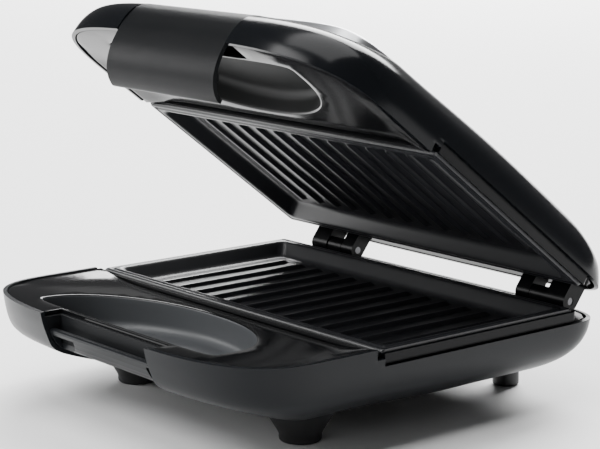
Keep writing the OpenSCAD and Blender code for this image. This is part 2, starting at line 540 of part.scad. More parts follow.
module lid_screws() color([0.5, 0.5, 0.5]) in_lid() {
  zl = 2 * pm - ledge_z;
  for (p = rear_boss) {
    translate([p[0], p[1], zl - 2]) cylinder(r = 3, h = 2);
    translate([p[0], p[1], zl - 1]) cylinder(r = 1.45, h = 16);
  }
}

// ---------- latch, drawn latched on the closed lid ----------
latch_o = [[-127.2, 80.6], [-136.2, 77.4], [-142, 74.3], [-145.4, 70.7], [-147.2, 66.8], [-148.2, 62.4], [-148.8, 58],
  [-148.8, 53.6], [-148.2, 47], [-147, 42], [-145.2, 37.7], [-142.6, 33.9], [-139.2, 31], [-135.4, 29.4], [-133.6, 29.8]];
latch_i = [[-133.6, 31], [-135.4, 31.2], [-138.2, 32.7], [-141, 35.3], [-143.2, 38.7], [-144.9, 42.6], [-146, 47.4],
  [-146.6, 53.6], [-146.6, 58], [-146, 62], [-144.9, 65.8], [-143.1, 69], [-140.3, 71.7], [-135.2, 74.3], [-127.9, 76.9]];
module latch() color([0.15, 0.155, 0.16]) in_lid() {
  lw = latch_w / 2;
  difference() {
    union() {
      along_x(latch_w) polygon(concat(latch_o, latch_i));
      for (s = [-1, 1]) translate([s * (lw - 4.5), 0, 0]) along_x(3) {
        translate(latch_piv) circle(3.3);
        polygon([[-146.2, 59.5], [-145.2, 65.8], [-142.6, 70.2], [-139.2, 70.3], [-135.9, 67], [-141, 62]]);
      }
    }
    xcyl(hp_r, -60, 60, latch_piv[0], latch_piv[1]);
  }
  // hooks that catch behind the keeper
  for (s = [[-42.4, 11.8], [39.4, 3.4]]) translate([s[0] + s[1] / 2, 0, 0]) along_x(s[1]) polygon([[-142.9, 38.2],
    [-144.4, 41], [-141.6, 40.8], [-139.9, 38.4], [-140.2, 36.2], [-141.8, 35.6]]);
}
module latch_pins() color([0.7, 0.7, 0.72]) in_lid()
  for (s = [-1, 1]) xcyl(hp_r, min(s * 32, s * 47.4), max(s * 32, s * 47.4), latch_piv[0], latch_piv[1]);
module latch_springs() color([0.7, 0.7, 0.72]) in_lid()
  for (s = [-1, 1]) translate([s * 35.3, latch_piv[0], latch_piv[1]]) {
    rotate([0, 90, 0]) rotate_extrude() polygon([[2.05, -2.2], [2.9, -2.2], [3.1, -1.75], [2.8, -1.3], [3.1, -0.85], [2.8, -0.4],
      [3.1, 0.05], [2.8, 0.5], [3.1, 0.95], [2.8, 1.4], [3.1, 1.85], [2.9, 2.2], [2.05, 2.2]]);
    translate([-s * 1.8, 0, -2.5]) rotate([90, 0, 0]) cylinder(r = 0.5, h = 5.2);
  }

base_shell();
base_deck();
latch_keeper();
base_plate_carrier();
base_plate();
base_element();
base_element_clamps();
base_reflector();
thermostat();
thermal_fuse();
terminal_block();
mains_wiring();
cord_gland();
front_feet();
rear_feet();
base_screws();
base_plate_screws();
hinge_towers();
hinge_pins();
lid_shell();
lid_deck();
latch_housing();
lid_plate_carrier();
lid_plate();
lid_element();
lid_element_clamps();
lid_reflector();
lid_plate_screws();
top_panel();
power_lens();
ready_lens();
lamp_board();
hinge_ears();
lid_screws();
latch();
latch_pins();
latch_springs();
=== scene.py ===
import json
import math

import bmesh
import bpy
import numpy as np
from mathutils import Matrix, Vector
from mathutils.geometry import delaunay_2d_cdt


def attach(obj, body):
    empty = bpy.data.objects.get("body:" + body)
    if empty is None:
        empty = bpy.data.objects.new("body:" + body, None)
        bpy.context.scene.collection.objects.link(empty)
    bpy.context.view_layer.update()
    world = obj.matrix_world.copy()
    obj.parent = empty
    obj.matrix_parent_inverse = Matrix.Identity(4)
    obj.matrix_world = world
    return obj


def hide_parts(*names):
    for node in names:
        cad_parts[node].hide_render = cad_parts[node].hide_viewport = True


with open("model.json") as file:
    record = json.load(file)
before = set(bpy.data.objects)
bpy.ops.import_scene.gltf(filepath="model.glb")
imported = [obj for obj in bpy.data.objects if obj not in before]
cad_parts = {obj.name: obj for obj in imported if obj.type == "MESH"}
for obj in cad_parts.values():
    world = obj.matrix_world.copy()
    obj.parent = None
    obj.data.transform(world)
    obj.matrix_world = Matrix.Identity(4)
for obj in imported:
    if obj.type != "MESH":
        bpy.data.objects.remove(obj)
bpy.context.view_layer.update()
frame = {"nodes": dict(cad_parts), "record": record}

# ------------------------------------------------------------------ places
Y0 = 24.51                      # plate centre to origin, mm
HY, HZ = 78.5, 51.0             # hinge line in the plate-centre frame
OPEN = math.radians(37.6)
CO, SO = math.cos(OPEN), math.sin(OPEN)
PM = 53.55                      # parting plane of the closed halves


def to_base(v):
    v = np.asarray(v, float)
    return np.c_[v[:, 0], v[:, 1] + Y0, v[:, 2]] * 0.001


def to_lid(v):
    v = np.asarray(v, float)
    dy, dz = v[:, 1] - HY, v[:, 2] - HZ
    return np.c_[v[:, 0], HY + dy * CO + dz * SO + Y0, HZ - dy * SO + dz * CO] * 0.001


# ------------------------------------------------------------------ materials
def socket(node, *names):
    for n in names:
        if n in node.inputs:
            return node.inputs[n]
    return None


def material(name, color, rough, spec=0.5, metal=0.0, coat=0.0, coat_rough=0.05, grain=None,
             mottle=None, brushed=None, trans=0.0, emit=0.0):
    """A procedural plastic, rubber or metal. grain = (size mm, height mm) fine surface texture,
    mottle = (size mm, amount) slow change of roughness, brushed = (axis scale, height)."""
    m = bpy.data.materials.new(name)
    m.use_nodes = True
    nt = m.node_tree
    b = nt.nodes["Principled BSDF"]
    b.inputs["Base Color"].default_value = (*color, 1)
    b.inputs["Roughness"].default_value = rough
    b.inputs["Metallic"].default_value = metal
    s = socket(b, "Specular IOR Level", "Specular")
    if s:
        s.default_value = spec
    c = socket(b, "Coat Weight", "Clearcoat")
    if c:
        c.default_value = coat
    c = socket(b, "Coat Roughness", "Clearcoat Roughness")
    if c:
        c.default_value = coat_rough
    if trans:
        socket(b, "Transmission Weight", "Transmission").default_value = trans
    if emit:
        socket(b, "Emission Color", "Emission").default_value = (*color, 1)
        b.inputs["Emission Strength"].default_value = emit
    co = nt.nodes.new("ShaderNodeTexCoord")
    last = None
    if mottle:
        n = nt.nodes.new("ShaderNodeTexNoise")
        n.inputs["Scale"].default_value = 1000.0 / mottle[0]
        n.inputs["Detail"].default_value = 3
        nt.links.new(co.outputs["Object"], n.inputs["Vector"])
        r = nt.nodes.new("ShaderNodeMapRange")
        r.inputs["To Min"].default_value = max(0.0, rough - mottle[1])
        r.inputs["To Max"].default_value = min(1.0, rough + mottle[1])
        nt.links.new(n.outputs["Fac"], r.inputs["Value"])
        nt.links.new(r.outputs["Result"], b.inputs["Roughness"])
    if brushed:
        mp = nt.nodes.new("ShaderNodeMapping")
        mp.inputs["Scale"].default_value = brushed[0]
        nt.links.new(co.outputs["Object"], mp.inputs["Vector"])
        n = nt.nodes.new("ShaderNodeTexNoise")
        n.inputs["Scale"].default_value = 1.0
        n.inputs["Detail"].default_value = 4
        nt.links.new(mp.outputs["Vector"], n.inputs["Vector"])
        bp = nt.nodes.new("ShaderNodeBump")
        bp.inputs["Strength"].default_value = 0.35
        bp.inputs["Distance"].default_value = brushed[1] * 0.001
        nt.links.new(n.outputs["Fac"], bp.inputs["Height"])
        last = bp
    if grain:
        n = nt.nodes.new("ShaderNodeTexNoise")
        n.inputs["Scale"].default_value = 1000.0 / grain[0]
        n.inputs["Detail"].default_value = 2
        n.inputs["Roughness"].default_value = 0.6
        nt.links.new(co.outputs["Object"], n.inputs["Vector"])
        bp = nt.nodes.new("ShaderNodeBump")
        bp.inputs["Strength"].default_value = 0.6
        bp.inputs["Distance"].default_value = grain[1] * 0.001
        nt.links.new(n.outputs["Fac"], bp.inputs["Height"])
        if last:
            nt.links.new(last.outputs["Normal"], bp.inputs["Normal"])
        last = bp
    if last:
        nt.links.new(last.outputs["Normal"], b.inputs["Normal"])
    return m


M = {
    "casing_dark": material("m_casing_dark", (0.009, 0.0101, 0.0116), 0.32, 0.15, grain=(0.7, 0.006), mottle=(14, 0.03)),
    "casing_gloss": material("m_casing_gloss", (0.0046, 0.0048, 0.0054), 0.1, 0.15, mottle=(30, 0.012)),
    # bowl: the base bowl's wall and floor in a much lighter grey than the deck's gloss black, painted light falling
    # into the bowl
    "bowl": material("m_bowl_painted_light", (0.058, 0.062, 0.0665), 0.44, 0.42, mottle=(18, 0.03)),
    # recess: a darker, rougher plastic for the latch keeper, painted shade in the keeper's window and on the wall
    # behind its bar
    "recess_painted_shade": material("m_recess", (0.0065, 0.0072, 0.0082), 0.6, 0.15, mottle=(18, 0.03)),
    "lid_bowl": material("m_lid_bowl", (0.012, 0.0125, 0.0125), 0.5, 0.16, mottle=(18, 0.03)),
    "lid_gloss": material("m_lid_gloss", (0.0046, 0.0053, 0.0064), 0.17, 0.15, mottle=(40, 0.02)),
    "carrier": material("m_carrier", (0.0034, 0.0036, 0.0042), 0.28, 0.1, grain=(0.6, 0.008)),
    "nonstick": material("m_nonstick", (0.012, 0.0125, 0.0145), 0.32, 0.4, grain=(0.45, 0.006), mottle=(9, 0.05)),
    "element": material("m_element", (0.32, 0.3, 0.27), 0.45, 0.5, metal=1.0, mottle=(6, 0.1)),
    "sheet": material("m_sheet", (0.72, 0.72, 0.73), 0.3, 0.5, metal=1.0, mottle=(20, 0.06)),
    "ceramic": material("m_ceramic", (0.78, 0.76, 0.69), 0.25, 0.5, mottle=(5, 0.05)),
    "wire": material("m_wire", (0.5, 0.24, 0.1), 0.5, 0.4, mottle=(3, 0.05)),
    "rubber_black": material("m_rubber_black", (0.014, 0.014, 0.015), 0.5, 0.45, grain=(0.8, 0.02)),
    "screw_steel": material("m_screw_steel", (0.55, 0.55, 0.56), 0.3, 0.5, metal=1.0, mottle=(3, 0.05)),
    "pin_steel": material("m_pin_steel", (0.1, 0.1, 0.105), 0.3, 0.5, metal=1.0, mottle=(3, 0.05)),
    "panel_steel": material("m_panel_steel", (0.62, 0.63, 0.65), 0.3, 0.5, metal=1.0, brushed=((12, 900, 900), 0.01), mottle=(30, 0.04)),
    "lens_red": material("m_lens_red", (0.5, 0.02, 0.02), 0.12, 0.5, coat=0.5, mottle=(2, 0.02)),
    "lens_green": material("m_lens_green", (0.03, 0.38, 0.08), 0.12, 0.5, coat=0.5, mottle=(2, 0.02)),
    "board": material("m_board", (0.5, 0.37, 0.18), 0.6, 0.4, mottle=(3, 0.05)),
    "latch_grained": material("m_latch_grained", (0.004, 0.0045, 0.0052), 0.4, 0.1, grain=(0.55, 0.12), mottle=(10, 0.04)),
    "latch_smooth": material("m_latch_smooth", (0.004, 0.0044, 0.005), 0.34, 0.08, mottle=(10, 0.03)),
}


# ------------------------------------------------------------------ mesh helpers
def piece(name, v, faces, place, slot, body, nodes=(), mats=None, fmat=None, sharp=38, bevel=None,
          flip=False, weld=True):
    v = np.asarray(v, float)
    if flip:
        v = v.copy()
        v[:, 2] = 2 * PM - v[:, 2]
        faces = [tuple(reversed(f)) for f in faces]
    me = bpy.data.meshes.new(name)
    me.from_pydata(place(v).tolist(), [], [tuple(int(i) for i in f) for f in faces])
    for k in (mats or [slot]):
        me.materials.append(M[k])
    if fmat is not None:
        me.polygons.foreach_set("material_index", np.asarray(fmat, dtype=np.int32))
    bm = bmesh.new()
    bm.from_mesh(me)
    if weld:
        bmesh.ops.remove_doubles(bm, verts=bm.verts, dist=2e-6)
        bmesh.ops.dissolve_degenerate(bm, edges=bm.edges, dist=1e-7)
    lim = math.radians(sharp)
    for f in bm.faces:
        f.smooth = True
    for e in bm.edges:
        if len(e.link_faces) == 2:
            e.smooth = e.calc_face_angle(0) < lim
    bm.to_mesh(me)
    bm.free()
    me.update()
    ob = bpy.data.objects.new(name, me)
    bpy.context.scene.collection.objects.link(ob)
    if bevel:
        b = ob.modifiers.new("bevel", "BEVEL")
        b.width = bevel * 0.001
        b.segments = 3
        b.limit_method = "ANGLE"
        b.angle_limit = math.radians(50)
        b.harden_normals = False
        b.miter_outer = "MITER_ARC"
    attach(ob, body)
    if nodes:
        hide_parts(*nodes)
    return ob


def smoothstep(a, b, x):
    t = np.clip((np.asarray(x, float) - a) / (b - a), 0, 1)
    return t * t * (3 - 2 * t)


def spow(v, e):
    return np.sign(v) * np.abs(v) ** e


def catmull(p, n):
    """A smooth curve through the points p, n samples a span."""
    p = np.asarray(p, float)
    q = np.vstack([2 * p[0] - p[1], p, 2 * p[-1] - p[-2]])
    t = np.linspace(0, 1, n, endpoint=False)[:, None]
    out = []
    for i in range(1, len(q) - 2):
        a, b, c, d = q[i - 1:i + 3]
        out.append(0.5 * (2 * b + (c - a) * t + (2 * a - 5 * b + 4 * c - d) * t ** 2 + (3 * b - a - 3 * c + d) * t ** 3))
    out.append(p[-1:])
    return np.vstack(out)


def solid_sheet(grid, keep, thick, closed_j=False, normals=None):
    """A thin wall from a grid of points J x K: the kept cells outside, the same cells moved in by
    thick, and side faces along every free edge. Outward is (dP/dj) x (dP/dk)."""
    g = np.asarray(grid, float)
    J, K = g.shape[:2]
    if normals is None:
        if closed_j:
            tj = np.roll(g, -1, 0) - np.roll(g, 1, 0)
        else:
            tj = np.gradient(g, axis=0)
        tk = np.gradient(g, axis=1)
        normals = np.cross(tj, tk)
        ln = np.linalg.norm(normals, axis=2, keepdims=True)
        normals = normals / np.where(ln < 1e-9, 1, ln)
    th = thick if np.ndim(thick) == 0 else np.asarray(thick)[..., None]
    inner = g - normals * th
    v = np.vstack([g.reshape(-1, 3), inner.reshape(-1, 3)])
    n = J * K
    cells = set()
    JJ = J if closed_j else J - 1
    for j in range(JJ):
        for k in range(K - 1):
            if keep is None or keep[j, k]:
                cells.add((j, k))
    F, src = [], []
    for j, k in sorted(cells):
        j2 = (j + 1) % J
        a, b, c, d = j * K + k, j2 * K + k, j2 * K + k + 1, j * K + k + 1
        F.append((a, b, c, d)); src.append((j, k, 0))
        F.append((n + d, n + c, n + b, n + a)); src.append((j, k, 1))
        for nb, e in (((j, k - 1), (b, a)), ((j, k + 1), (d, c)), (((j - 1) % J if closed_j else j - 1, k), (a, d)),
                      (((j + 1) % J if closed_j else j + 1, k), (c, b))):
            if nb not in cells:
                F.append((e[0], e[1], n + e[1], n + e[0])); src.append((j, k, 2))
    return v, F, src


def prism_x(poly, x0, x1):
    """An outline in y and z (counter-clockwise seen from +x) drawn from x0 to x1."""
    p = np.asarray(poly, float)
    area = np.sum(p[:, 0] * np.roll(p[:, 1], -1) - np.roll(p[:, 0], -1) * p[:, 1])
    if area < 0:
        p = p[::-1]
    n = len(p)
    v = np.vstack([np.c_[np.full(n, x0), p], np.c_[np.full(n, x1), p]])
    F = [tuple(reversed(range(n))), tuple(range(n, 2 * n))]
    for i in range(n):
        j = (i + 1) % n
        F.append((i, j, n + j, n + i))
    return v, F


def lathe(profile, cx, cy, n=64):
    """A turned piece about a vertical line, profile (r, z) from the bottom centre outwards and up."""
    v, F = [], []
    m = len(profile)
    for i in range(n):
        a = 2 * math.pi * i / n
        for r, z in profile:
            v.append((cx + r * math.cos(a), cy + r * math.sin(a), z))
    for i in range(n):
        j = (i + 1) % n
        for k in range(m - 1):
            F.append((i * m + k, j * m + k, j * m + k + 1, i * m + k + 1))
    return np.array(v), F


def merge(parts):
    v, F, o = [], [], 0
    for a, f in parts:
        v.append(np.asarray(a, float))
        F += [tuple(i + o for i in q) for q in f]
        o += len(a)
    return np.vstack(v), F


# ------------------------------------------------------------------ casing form
BASE_SEC = [[0, 0, 0, 0, 3.6, 7], [5, 0, 0.8, 0, 3.6, 6.5], [9.5, 0.2, 2.3, 0, 3.7, 6.2],
  [14, 0.4, 4, 0.6, 3.8, 6], [18, 1.05, 5.4, 2, 3.8, 5.75], [21.5, 2.15, 7.2, 4.2, 3.8, 5.45],
  [23.5, 3.35, 10.8, 6.05, 3.8, 5.3], [26, 5.4, 17.2, 8.45, 3.85, 5.1], [29.5, 9.9, 27, 12.1, 3.95, 4.9],
  [33.5, 17.8, 39.5, 16.9, 4, 4.5], [37, 27.3, 56, 22.3, 4, 4.3], [40.2, 36.7, 79, 30.5, 4, 4],
  [42.3, 50, 100, 46, 4, 4]]
LID_SEC = [[0, 0, 0, 0, 3.6, 6], [5, 0, 0, 0, 3.58, 5.8], [9.5, 0.55, 0.3, 0.5, 3.56, 5.5],
  [14, 1.8, 1.25, 1.5, 3.54, 5.2], [18, 3.25, 2.85, 3, 3.52, 5], [21.5, 5.45, 5.3, 5, 3.5, 4.8],
  [24.5, 8.15, 9.5, 8, 3.3, 4.5], [27.4, 11.4, 15.7, 11.5, 3.04, 4.2], [30.2, 15.7, 23.8, 15.5, 2.78, 4],
  [32.5, 20.2, 34.3, 20, 2.53, 3.8], [34.3, 24.6, 47.7, 25, 2.4, 3.6], [35.7, 28.5, 69, 32, 2.3, 3.4],
  [36.7, 38, 89, 43, 2.28, 3.2], [37.3, 60, 101.5, 58, 2.27, 3]]
HW, FRONT = 118.0, 149.8


def smooth_rows(sec, n=360, sigma=2.6):
    """The section table as a fine smooth curve, by length along the wall."""
    p = np.array(sec, float)
    q = catmull(p, 24)
    q[:, 0] = np.maximum.accumulate(q[:, 0])
    s = np.r_[0, np.cumsum(np.hypot(np.diff(q[:, 0]), np.diff(q[:, 1])))]
    t = np.linspace(0, s[-1], n)
    f = np.stack([np.interp(t, s, q[:, i]) for i in range(6)], 1)
    step = t[1]
    w = int(3 * sigma / step) + 1
    k = np.exp(-0.5 * (np.arange(-w, w + 1) * step / sigma) ** 2)
    k /= k.sum()
    ext = np.vstack([2 * f[0] - f[w:0:-1], f, 2 * f[-1] - f[-2:-w - 2:-1]])
    g = np.stack([np.convolve(ext[:, i], k, "valid") for i in range(6)], 1)
    g[0], g[-1] = f[0], f[-1]
    g[:, 0] = np.maximum.accumulate(g[:, 0])
    g[:, 4:] = np.maximum(g[:, 4:], 2.2)
    return t, g


def crown_base(y):
    return 1 - 0.05 * smoothstep(-8, -68, y) if np.ndim(y) == 0 else 1 - 0.05 * smoothstep(0, 1, (-np.asarray(y) - 8) / 60)


def crown_lid(y):
    v = (np.asarray(y, float) - 10) ** 2 / 6400
    return 1 - np.where(np.asarray(y, float) < 10, 0.079, 0.028) * v / (1 + (v / 1.3225) ** 3) ** (1 / 3)


class Form:
    def __init__(self, sec, rear, rim, up, crown):
        self.t, self.rows = smooth_rows(sec)
        self.rear, self.rim, self.sg, self.crown = rear, rim, (1 if up else -1), crown
        self.dmax = self.rows[-1, 0]

    def at(self, d):
        r = self.rows
        return [np.interp(d, r[:, 0], r[:, i]) for i in range(1, 6)]

    def row_t(self, t):
        return np.array([np.interp(t, self.t, self.rows[:, i]) for i in range(6)])

    def point(self, col, row):
        """col = (kind, value, top x); row = d, side, front, rear, nf, nr."""
        d, s, f, r, nf, nr = row
        hw, fy, ry = HW - s, -FRONT + f, self.rear - r
        yf, yr = max(-91.4, fy + 18), min(45, ry - 12)
        kind, val = col[0], col[1]
        if kind == "R":
            c, sn = math.cos(val), math.sin(val)
            return hw * float(spow(c, 2 / nr)), yr + (ry - yr) * abs(sn) ** (2 / nr)
        if kind == "L":
            return -hw, yr + (yf - yr) * val
        if kind == "S":
            return hw, yf + (yr - yf) * val
        c, sn = math.cos(val), math.sin(val)
        x = hw * float(spow(c, 2 / nf))
        y = yf - (yf - fy) * abs(sn) ** (2 / nf)
        xt = col[2]
        w = float(smoothstep(60, 100, abs(xt)))
        if w < 1:
            xk = math.copysign(min(abs(xt), hw * 0.985), xt)
            x = w * x + (1 - w) * xk
            y = yf - (yf - fy) * max(0.0, 1 - (abs(x) / hw) ** nf) ** (1 / nf)
        return x, y

    def xyz(self, col, d):
        """The wall's point in column col at depth d below the rim."""
        row = [d] + [float(v) for v in self.at(d)]
        x, y = self.point(col, row)
        return x, y, self.rim + self.sg * d * float(self.crown(y))

    def at_z(self, col, z):
        d = abs(z - self.rim)
        for _ in range(3):
            x, y, zz = self.xyz(col, d)
            d = abs(z - self.rim) / float(self.crown(y))
        x, y, zz = self.xyz(col, d)
        return (x, y, z), d


def columns(form, step=4.2):
    """Columns round the casing, counter-clockwise from the right rear, with the cut lines among them."""
    def spaced(fn, a0, a1, extra=()):
        a = np.linspace(a0, a1, 4001)
        p = np.array([fn(v) for v in a])
        s = np.r_[0, np.cumsum(np.hypot(*np.diff(p, axis=0).T))]
        n = max(4, int(round(s[-1] / step)))
        want = list(np.interp(np.linspace(0, s[-1], n + 1), s, a))
        for e in extra:
            i = int(np.argmin(np.abs(np.array(want) - e)))
            want[i] = e
        return want
    row = [0] + [float(v) for v in form.at(0)]
    cols = []
    for a in spaced(lambda v: form.point(("R", v, 0), row), 0, math.pi):
        cols.append(("R", a, 0))
    span = 45 + 91.4
    ys = [-63.8, -68.6]
    n = int(span / step)
    left = sorted(set([round(v, 4) for v in np.linspace(45, -91.4, n + 1)[1:-1]] + ys), reverse=True)
    left = [v for v in left if v in ys or min(abs(v - q) for q in ys) > 1.4]
    for y in left:
        cols.append(("L", (45 - y) / span, 0))
    nf = row[4]
    def a_of(x):
        c = (abs(x) / HW) ** (nf / 2)
        a = math.acos(c)
        return math.pi + a if x < 0 else 2 * math.pi - a
    for a in spaced(lambda v: form.point(("F", v, HW * math.copysign(abs(math.cos(v)) ** (2 / nf), math.cos(v))), row),
                    math.pi, 2 * math.pi, (a_of(-45), a_of(45))):
        x = HW * math.copysign(abs(math.cos(a)) ** (2 / nf), math.cos(a))
        if abs(abs(x) - 45) < 0.01:
            x = math.copysign(45.0, x)
        cols.append(("F", a, x))
    for y in sorted(left):
        cols.append(("S", (y + 91.4) / span, 0))
    return cols


def casing(name, form, zs, cutmask, slot, body, nodes, place, bottom_rows=34, wall=2.2):
    """A whole casing half: z levels near the rim, then even steps along the wall, then the flat."""
    cols = columns(form, 3.4)
    J = len(cols)
    ring = []
    for c in cols:
        pts = []
        for z in zs:
            p, d = form.at_z(c, z)
            pts.append(p)
        t0 = np.interp(d, form.rows[:, 0], form.t)
        for i in range(1, bottom_rows + 1):
            row = form.row_t(t0 + (form.t[-1] - t0) * i / bottom_rows)
            x, y = form.point(c, row)
            pts.append((x, y, form.rim + form.sg * row[0] * float(form.crown(y))))
        last = np.array(pts[-1])
        cy = (form.rear - form.rows[-1, 3] - FRONT + form.rows[-1, 2]) / 2
        for i in range(1, 9):
            q = 1 - i / 8
            x, y = last[0] * q, cy + (last[1] - cy) * q
            pts.append((x, y, form.rim + form.sg * (form.dmax + 0.35 * (1 - q * q)) * float(form.crown(y))))
        ring.append(pts)
    g = np.array(ring)
    K = g.shape[1]
    keep = np.ones((J, K - 1), bool)
    for j in range(J):
        mid = (g[j] + g[(j + 1) % J]) / 2
        for k in range(K - 1):
            m = (mid[k] + mid[k + 1]) / 2
            keep[j, k] = not cutmask(m)
    # outward normals, without the seams that the centre of the flat would give
    tj = np.roll(g, -1, 0) - np.roll(g, 1, 0)
    tk = np.gradient(g, axis=1)
    nn = np.cross(tj, tk) if form.sg < 0 else -np.cross(tj, tk) * -1
    ln = np.linalg.norm(nn, axis=2, keepdims=True)
    nn = nn / np.where(ln < 1e-9, 1, ln)
    nn[:, -1] = (0, 0, form.sg)
    # point them away from the middle of the casing
    mid = np.array([0, -28, form.rim])
    dot = np.sum(nn * (g - mid), axis=2)
    if np.median(dot) < 0:
        nn = -nn
    # the top's normals all point out, also where its columns cross at a corner
    nz = nn[..., 2] * form.sg
    nn[(nz < 0) & (np.median(nz, axis=0) > 0.4)[None, :]] *= -1
    v, F, src = solid_sheet(g, keep, wall, True, nn)
    # faces face outwards: compare with the first kept outer face
    a, b, c, d = F[0]
    fn = np.cross(v[b] - v[a], v[c] - v[a])
    if np.dot(fn, (v[a] + v[c]) / 2 - mid) < 0:
        F = [tuple(reversed(f)) for f in F]
    return piece(name, v, F, place, slot, body, nodes, bevel=0.45, sharp=42), g


base_form = Form(BASE_SEC, 90.8, 53.2, False, crown_base)
lid_form = Form(LID_SEC, 92.5, 53.9, True, crown_lid)


def base_cut(m):
    x, y, z = m
    if abs(x) < 45 and y - 0.4 * (abs(x) / 45) ** 3.8 < -107.4:
        return True
    if y > -68.6 and z > 48.2:
        return True
    return y > -63.8 and z > 44.6


def lid_cut(m):
    x, y, z = m
    if abs(x) < 45 and y < -124.6:
        return True
    if y > -68.6 and z < 58.9:
        return True
    return y > -63.8 and z < 62.6


casing("base_casing", base_form, [53.2, 52.2, 50.6, 49.2, 48.2, 47, 45.8, 44.6, 43, 41.2, 39.2, 37, 34.8, 32.6, 30.4, 28.3],
       base_cut, "casing_dark", "base", ["base_shell"], to_base)
casing("lid_casing", lid_form, [53.9, 54.9, 56.4, 57.8, 58.9, 60, 61.3, 62.6, 64, 65.6, 67.4, 69.4],
       lid_cut, "lid_gloss", "lid", ["lid_shell"], to_lid, bottom_rows=44)


# raised floor of the latch notch and the walls at its ends
parts = [prism_x([(-131.4, 31.5), (-131.4, 30.7), (-129.8, 30), (-107, 20.7), (-104, 20.2), (-104, 22), (-107, 22.4)], -45.6, 45.6)]
low = []
for t in np.linspace(0, base_form.t[-1], 160):
    row = base_form.row_t(t)
    x, y = base_form.point(("F", 5.4, 46.0), row)
    z = 53.2 - row[0] * float(base_form.crown(y))
    if z < 31.4 and y < -106:
        low.append((y + 0.9, z + 0.9))
for sx in (-1, 1):
    xa, xb = sorted((sx * 45.02, sx * 47))
    parts.append(prism_x([(-105, 21.5), (-131.4, 31.5), (-136.2, 31.6)] + low[::3], xa, xb))
v, F = merge(parts)
piece("notch_floor", v, F, to_base, "casing_dark", "base", sharp=35)


# ------------------------------------------------------------------ front decks with the finger bowls
def scoop(o, n=2):
    """The bowl's mouth, moved in by o, counter-clockwise from the right."""
    pts = []
    for a in np.linspace(0, math.pi, 49):
        pts.append(((75 - o) * float(spow(round(math.cos(a), 9), 2 / 2.1)), -127 + (52 - o) * abs(math.sin(a)) ** (2 / 2.1)))
    for a in np.linspace(math.pi, 2 * math.pi, 34)[1:-1]:
        pts.append(((75 - o) * float(spow(round(math.cos(a), 9), 2 / 5)), -127 - (6 - o) * abs(math.sin(a)) ** (2 / 5)))
    p = np.array(pts)
    # even spacing
    q = np.vstack([p, p[:1]])
    s = np.r_[0, np.cumsum(np.hypot(*np.diff(q, axis=0).T))]
    t = np.linspace(0, s[-1], 145)[:-1]
    return np.stack([np.interp(t, s, q[:, 0]), np.interp(t, s, q[:, 1])], 1)


def deck_z(x, y):
    """Level with the rim along the sides, dipping towards the plate in the middle."""
    a = 4.2 / 58 * 6.0 * np.logaddexp(0, (np.asarray(y, float) + 124) / 6.0)
    b = 4.2 / 19 * 3.0 * np.logaddexp(0, (113 - np.abs(np.asarray(x, float))) / 3.0)
    return 53.0 - (a ** -4 + b ** -4) ** -0.25


def deck_outline():
    """Outer edge of the deck with the latch notch, counter-clockwise from the right rear."""
    hw, fy, nf = HW - 2.45, -FRONT + 2.45, 3.6
    left = [(-hw, y) for y in np.linspace(-66.2, -91.4, 9)]
    a = np.linspace(math.pi, 2 * math.pi, 241)
    arc = np.array([(hw * float(spow(round(math.cos(v), 9), 2 / nf)), -91.4 - (-91.4 - fy) * abs(math.sin(v)) ** (2 / nf)) for v in a])
    s = np.r_[0, np.cumsum(np.hypot(*np.diff(arc, axis=0).T))]
    t = np.linspace(0, s[-1], 101)
    arc = np.stack([np.interp(t, s, arc[:, 0]), np.interp(t, s, arc[:, 1])], 1)
    yn = float(np.interp(47.2, arc[50:, 0], arc[50:, 1]))
    a1 = [tuple(p) for p in arc if p[0] < -48]
    a2 = [tuple(p) for p in arc if p[0] > 48]
    notch = [(-47.2, yn), (-47.2, -141), (-47.2, -135.2)] + [(x, -135.2) for x in np.linspace(-40, 40, 17)] + [(47.2, -135.2), (47.2, -141), (47.2, yn)]
    right = [(hw, y) for y in np.linspace(-91.4, -66.2, 9)]
    rear = [(x, -66.2) for x in np.linspace(hw, -hw, 37)][1:-1]
    return np.array(left[:-1] + a1 + notch + a2 + right[1:] + rear)


